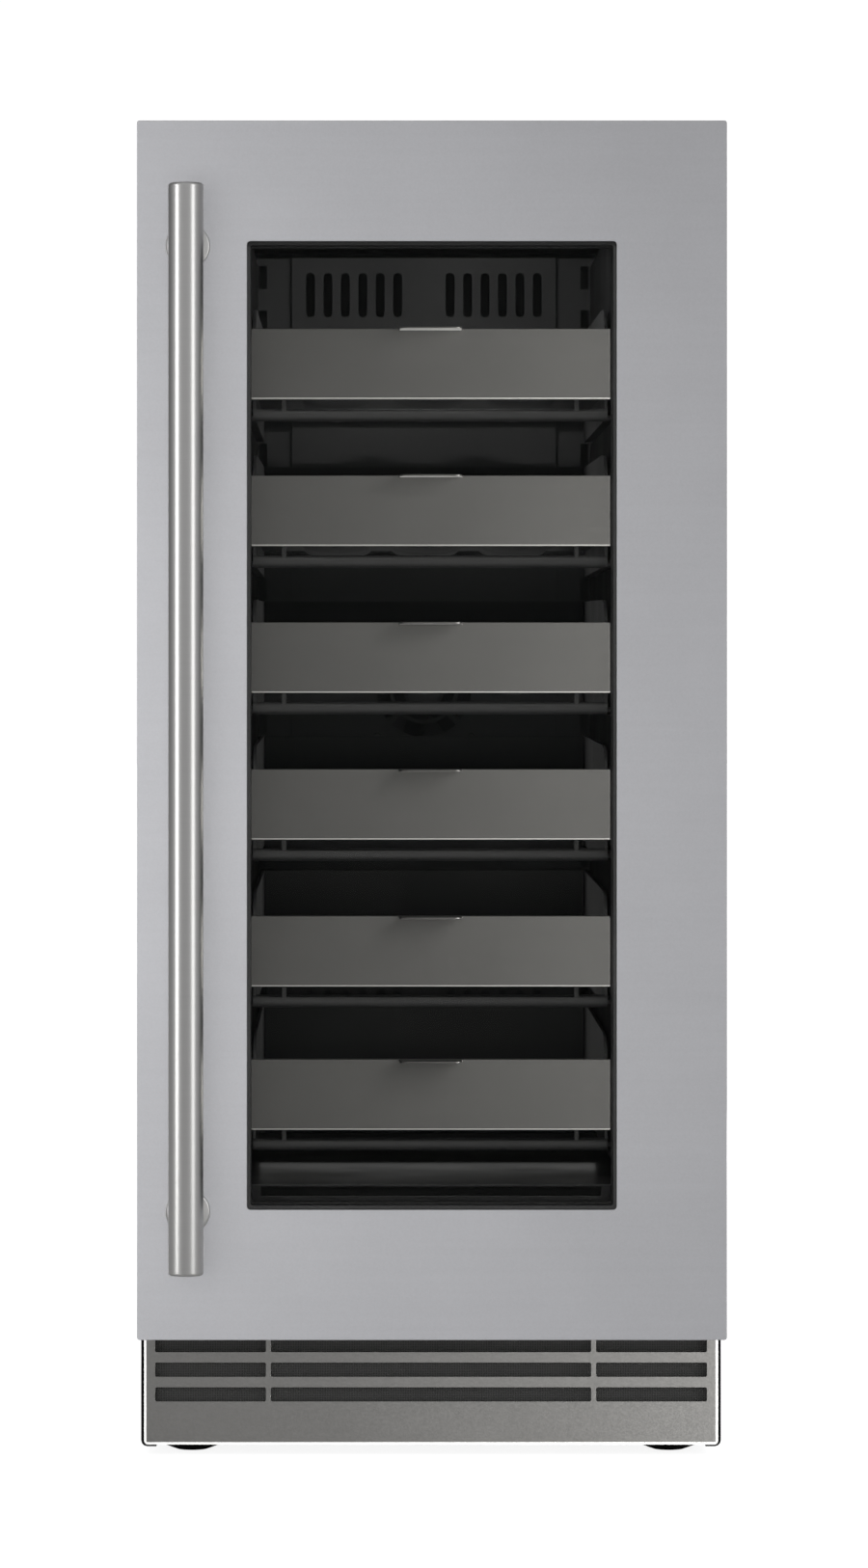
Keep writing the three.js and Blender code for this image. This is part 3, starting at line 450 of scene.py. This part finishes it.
def toe_grille():
    """The grille, with a painted highlight along its sides and its bottom edge, where its rolled edge would
    catch the light.
    """
    low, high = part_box("toe_grille")
    trim_highlight_x, trim_highlight_z = high.x - TRIM_HIGHLIGHT_BAND, low.z + TRIM_HIGHLIGHT_BAND
    rounded_copy("toe_grille", FINE, extra=[TRIM_PAINTED_HIGHLIGHT],
                 pick=lambda centre, normal: int(abs(centre.x) > trim_highlight_x or centre.z < trim_highlight_z),
                 cuts=[((trim_highlight_x, 0, 0), ACROSS), ((-trim_highlight_x, 0, 0), ACROSS), ((0, 0, trim_highlight_z), UP)])


def foam():
    """The foam block; the air passage behind the slot below the interior is lined in black."""
    half_width, behind_deck_front, above_liner_base = 114 * MM, 16 * MM, 60 * MM
    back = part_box("machine_deck")[0].y + behind_deck_front
    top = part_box("interior_liner")[0].z + above_liner_base
    rounded_copy("foam_insulation", FINE, extra=[BLACK_MATTE],
                 pick=lambda centre, normal: int(centre.y < back and abs(centre.x) < half_width
                                                 and centre.z < top))


for node, width in ROUNDED.items():
    rounded_copy(node, width)
for rack in RACKS:
    rack_pieces(rack)
toe_grille()
foam()
for node in FEET:
    rounded_copy(node, THIN)


# --------------------------------------------------------------------- handle
TUBE_EDGE = 1.9 * MM
POST_RADIUS, FLANGE_THICK, FLANGE_EDGE, POST_FILLET = 8 * MM, 5 * MM, 1.6 * MM, 2 * MM
POST_STOP = 0.7            # a post ends this share of the tube's radius short of the tube's centre
FACING_FORWARD = Matrix.Rotation(math.radians(90), 4, "X")


def handle():
    """The tube with rounded rims, and two flanged posts that reach into it."""
    low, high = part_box("handle_tube")
    radius = (high.x - low.x) / 2
    half = (high.z - low.z) / 2
    profile = [(0, -half), *corner(TUBE_EDGE, radius - TUBE_EDGE, TUBE_EDGE - half, -90, 0),
               *corner(TUBE_EDGE, radius - TUBE_EDGE, half - TUBE_EDGE, 0, 90), (0, half)]
    mesh = lathe(profile, Matrix.Translation((low + high) / 2))
    show("handle_tube_finished", mesh, "door", [HANDLE_STEEL], "handle_tube", CRISP_TURNED)
    for node in ("handle_standoff_upper", "handle_standoff_lower"):
        a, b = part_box(node)
        base = Vector(((a.x + b.x) / 2, b.y, (a.z + b.z) / 2))
        flange = (b.x - a.x) / 2
        reach = b.y - (low.y + high.y) / 2 - radius * POST_STOP
        profile = [(0, 0), (flange, 0),
                   *corner(FLANGE_EDGE, flange - FLANGE_EDGE, FLANGE_THICK - FLANGE_EDGE, 0, 90),
                   *corner(POST_FILLET, POST_RADIUS + POST_FILLET, FLANGE_THICK + POST_FILLET, -90, -180),
                   (POST_RADIUS, reach), (0, reach)]
        place = Matrix.Translation(base) @ FACING_FORWARD
        show(node + "_finished", lathe(profile, place, 64), "door", [HANDLE_STEEL], node, CRISP_TURNED)


handle()


# --------------------------------------------------------------------- screws
FORWARD, BACKWARD = (0, -1, 0), (0, 1, 0)
GUARD_SCREW, COVER_SCREW, HINGE_SCREW = 2.6 * MM, 3.2 * MM, 2.8 * MM     # head radii
EAR_INSET = 3.6 * MM              # guard screw's centre from the side of the fan guard
EAR_DEPTH = 0.6 * MM              # guard screw's seat behind the guard's foremost point
COVER_MARGIN = 9 * MM             # cover screws from the cover's edge
BRACKET_SEAT = 2.4 * MM           # hinge screw's seat in front of the bracket's rear face


def screw(name, seat, out, radius, finish):
    """A pan-head screw with a round recess; seat is on the surface, out points away from it."""
    height = radius * 0.45
    profile = [(0, 0), (radius, 0), (radius, height * 0.4),
               *corner(height * 0.6, radius - height * 0.6, height * 0.4, 0, 90, 4),
               (radius * 0.62, height), (radius * 0.55, height), (radius * 0.5, height * 0.35),
               (0, height * 0.3)]
    turn = Vector(out).to_track_quat("Z", "Y").to_matrix().to_4x4()
    mesh = lathe(profile, Matrix.Translation(seat) @ turn, 24)
    show(name, mesh, "cabinet", [finish], crisp=CRISP_TURNED)


def screws():
    """Screws on the fan guard, along the two rear covers and on the hinge brackets."""
    low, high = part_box("fan_guard")
    mid_x, mid_z = (low.x + high.x) / 2, (low.z + high.z) / 2
    ear = (high.x - low.x) / 2 - EAR_INSET
    for i, (x, z) in enumerate(((1, 1), (-1, 1), (-1, -1), (1, -1))):
        screw(f"guard_screw_{i}", (mid_x + x * ear, low.y + EAR_DEPTH, mid_z + z * ear), FORWARD,
              GUARD_SCREW, SCREW_BLACK)
    for node, rise in (("rear_panel", 12 * MM), ("lower_rear_cover", COVER_MARGIN)):
        low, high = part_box(node)
        for row, z in enumerate((low.z + rise, high.z - rise)):
            for column, share in enumerate((0.0, 0.5, 1.0)):
                x = low.x + COVER_MARGIN + share * (high.x - low.x - 2 * COVER_MARGIN)
                screw(f"{node}_screw_{row}_{column}", (x, high.y, z), BACKWARD, COVER_SCREW, SCREW)
    for node, share in (("hinge_upper", 0.3), ("hinge_lower", 0.75)):
        low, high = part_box(node)
        seat = ((low.x + high.x) / 2, high.y - BRACKET_SEAT, low.z + share * (high.z - low.z))
        screw(node + "_screw", seat, FORWARD, HINGE_SCREW, SCREW)


screws()


# ---------------------------------------------------------------------- stage
FACE_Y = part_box("door_skin")[0].y
FLOOR_SIZE = 40
FLOOR_GLOW = 0.9           # added for the camera, which sees a white floor
SURROUND_WHITE = 1.05      # the surroundings as the camera sees them


def floor():
    """A wide pale floor; its glow is for the camera only and puts no light on the object."""
    bm = bmesh.new()
    bmesh.ops.create_grid(bm, x_segments=8, y_segments=8, size=FLOOR_SIZE)
    mesh = bpy.data.meshes.new("studio_floor")
    bm.to_mesh(mesh)
    bm.free()
    f = Finish("studio_floor", (0.86, 0.86, 0.855), 0.7, 0.0, 0.1)
    f.paint(f.shades(f.noise(3), 0.01))
    path = f.nodes.new("ShaderNodeLightPath")
    glow = f.calc("MULTIPLY", path.outputs["Is Camera Ray"], FLOOR_GLOW)
    f.links.new(glow, f.shader.inputs["Emission Strength"])
    f.set("Emission Color", (1.0, 1.0, 1.0, 1.0))
    mesh.materials.append(f.mat)
    obj = bpy.data.objects.new("studio_floor", mesh)
    bpy.context.scene.collection.objects.link(obj)
    obj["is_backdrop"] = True


def linked(name, pieces):
    """A collection of named pieces, for a lamp's receivers or shadow casters."""
    group = bpy.data.collections.new(name)
    for piece in pieces:
        group.objects.link(bpy.data.objects[piece])
    return group


def softbox(name, place, target, size, watts, only=None, colour=(1, 1, 1), shadows=None):
    """An area light aimed at a point.

    only names the pieces that it lights and shadows names those that cast its shadows;
    without names it's all of them.
    """
    data = bpy.data.lights.new(name, "AREA")
    data.shape = "RECTANGLE"
    data.size, data.size_y = size
    data.energy = watts
    data.color = colour
    obj = bpy.data.objects.new(name, data)
    obj.location = place
    obj.rotation_mode = "QUATERNION"
    obj.rotation_quaternion = (Vector(target) - Vector(place)).to_track_quat("-Z", "Y")
    obj.visible_camera = False
    bpy.context.scene.collection.objects.link(obj)
    if only:
        obj.light_linking.receiver_collection = linked(name + "_lit", only)
    if shadows:
        obj.light_linking.blocker_collection = linked(name + "_shadows", shadows)


def world(front, back):
    """Soft surroundings, brighter in front than behind; the camera sees them as plain white."""
    w = bpy.data.worlds.new("studio")
    bpy.context.scene.world = w
    w.use_nodes = True
    nodes, links = w.node_tree.nodes, w.node_tree.links
    nodes.clear()
    out = nodes.new("ShaderNodeOutputWorld")
    mix = nodes.new("ShaderNodeMixShader")
    path = nodes.new("ShaderNodeLightPath")
    soft, white = nodes.new("ShaderNodeBackground"), nodes.new("ShaderNodeBackground")
    coords = nodes.new("ShaderNodeTexCoord")
    split = nodes.new("ShaderNodeSeparateXYZ")
    level = nodes.new("ShaderNodeMapRange")
    level.interpolation_type = "SMOOTHSTEP"
    level.inputs["From Min"].default_value = -0.5
    level.inputs["From Max"].default_value = 0.6
    level.inputs["To Min"].default_value = front
    level.inputs["To Max"].default_value = back
    soft.inputs["Color"].default_value = (0.985, 0.985, 1.0, 1.0)
    white.inputs["Strength"].default_value = SURROUND_WHITE
    white.inputs["Color"].default_value = (1.0, 1.0, 1.0, 1.0)
    links.new(coords.outputs["Generated"], split.inputs["Vector"])
    links.new(split.outputs["Y"], level.inputs["Value"])
    links.new(level.outputs["Result"], soft.inputs["Strength"])
    links.new(path.outputs["Is Camera Ray"], mix.inputs["Fac"])
    links.new(soft.outputs["Background"], mix.inputs[1])
    links.new(white.outputs["Background"], mix.inputs[2])
    links.new(mix.outputs["Shader"], out.inputs["Surface"])


floor()
world(front=0.42, back=0.14)
SHOWN = {o.name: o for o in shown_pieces()}
OF_DOOR = [n for n in SHOWN if n.startswith("door_skin")]
HANDLE = [n for n in SHOWN if n.startswith("handle_")]
TUBE = [n for n in HANDLE if n.startswith("handle_tube")]
DOOR_AND_POSTS = OF_DOOR + [n for n in HANDLE if n not in TUBE]
RACK_FRONTS = [r + "_front_finished" for r in RACKS]
LINING = ("interior_", "rack_", "air_duct", "fan_guard", "evaporator_fan", "control_", "glass_spacer",
          "door_liner")
INSIDE = [n for n in SHOWN if n.startswith(LINING) and n not in RACK_FRONTS]
DUCT = [n for n in INSIDE if n.startswith(("air_duct", "fan_guard", "evaporator_fan"))]
TRAYS = [r + "_tray_finished" for r in RACKS]
NOT_LINER = [n for n in INSIDE if n not in DUCT and not n.startswith("interior_liner")]
TOE = ["toe_grille_finished"]

WARM, COOL, PLAIN = (1, 0.99, 0.975), (0.985, 0.99, 1), (1, 1, 1)
# name, place measured from the door face, target, size, watts, receivers, colour, shadow casters
LAMPS = (
    ("door_left", (-1.3, -1.6, 0.1), (0, 0, 0.25), (1.2, 2.0), 29, OF_DOOR, COOL, OF_DOOR),
    ("door_front", (-0.6, -2.4, 0.3), (0, 0, 0.45), (1.6, 1.2), 7, DOOR_AND_POSTS, COOL, None),
    ("door_right", (1.3, -1.6, -0.1), (0, 0, 0.2), (1.0, 1.2), 5, OF_DOOR, COOL, OF_DOOR),
    ("handle_left", (-1.7, -1.0, 0.15), (-0.157, 0, 0.3), (0.4, 2.4), 10.5, TUBE, PLAIN, HANDLE),
    ("handle_right", (1.0, -1.0, 0.15), (-0.157, 0, 0.3), (0.5, 2.4), 6, HANDLE, PLAIN, HANDLE),
    ("toe_right", (1.0, -0.8, 0.12), (0.05, 0, 0.06), (0.3, 0.4), 36, TOE, WARM, TOE),
    ("racks_right", (0.5, -0.45, 0.5), (0.05, 0, 0.48), (0.2, 1.0), 12, RACK_FRONTS, WARM, RACK_FRONTS),
    ("duct_fill", (0, -1.6, 0.55), (0, 0, 0.5), (0.6, 1.0), 5, DUCT, PLAIN, None),
    ("inside_fill", (0, -1.6, 0.22), (0, 0, 0.45), (0.6, 0.5), 7, NOT_LINER, PLAIN, None),
    ("inside_high", (0, -1.2, 1.4), (0, 0.08, 0.2), (0.6, 0.4), 7, INSIDE, PLAIN, None),
    ("liner_floor", (0, 0.25, 0.187), (0, 0, 0.183), (0.23, 0.012), 0.0025, ["interior_liner_finished"],
     PLAIN, None),
    ("tray_glow", (0, 0.455, 0.5), (0, 0, 0.5), (0.2, 0.6), 0.05, TRAYS, PLAIN, ["interior_liner_finished"]),
)
for lamp, (x, y, z), target, size, watts, lit, colour, shadows in LAMPS:
    aim = Vector(target) + Vector((0, FACE_Y, 0))
    softbox(lamp, (x, FACE_Y + y, z), aim, size, watts, lit, colour, shadows)
lens_low, lens_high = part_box("interior_light")
below_lens = (lens_low + lens_high) / 2 - Vector((0, 0, 8 * MM))
softbox("roof_lamp", below_lens, (0, lens_high.y + 0.25, 0.6), (0.11, 0.01), 0.25, NOT_LINER + DUCT)
BACK_AND_SIDES = [n for n in SHOWN if n not in HANDLE and n not in OF_DOOR]
softbox("behind", (1.2, 2.6, 1.0), (0, 0.2, 0.45), (1.6, 1.6), 34)
softbox("side", (2.6, 0.2, 1.0), (0, 0.0, 0.45), (1.6, 1.6), 18, BACK_AND_SIDES)

# --------------------------------------------------------------------- camera
# lens, shift and place were fitted to the edges of the object in the photo
view = bpy.data.cameras.new("front_view")
view.sensor_fit = "HORIZONTAL"
view.sensor_width = 36.0
view.lens = 256.95
view.shift_x, view.shift_y = 0.0891, -0.1036
view.clip_end = 200
camera = bpy.data.objects.new("front_view", view)
camera.location = (-0.0486, FACE_Y - 4.0, 0.4976)
camera.rotation_euler = (math.radians(90), 0, 0)
bpy.context.scene.collection.objects.link(camera)
bpy.context.scene.camera = camera
bpy.context.scene.view_settings.view_transform = "Standard"
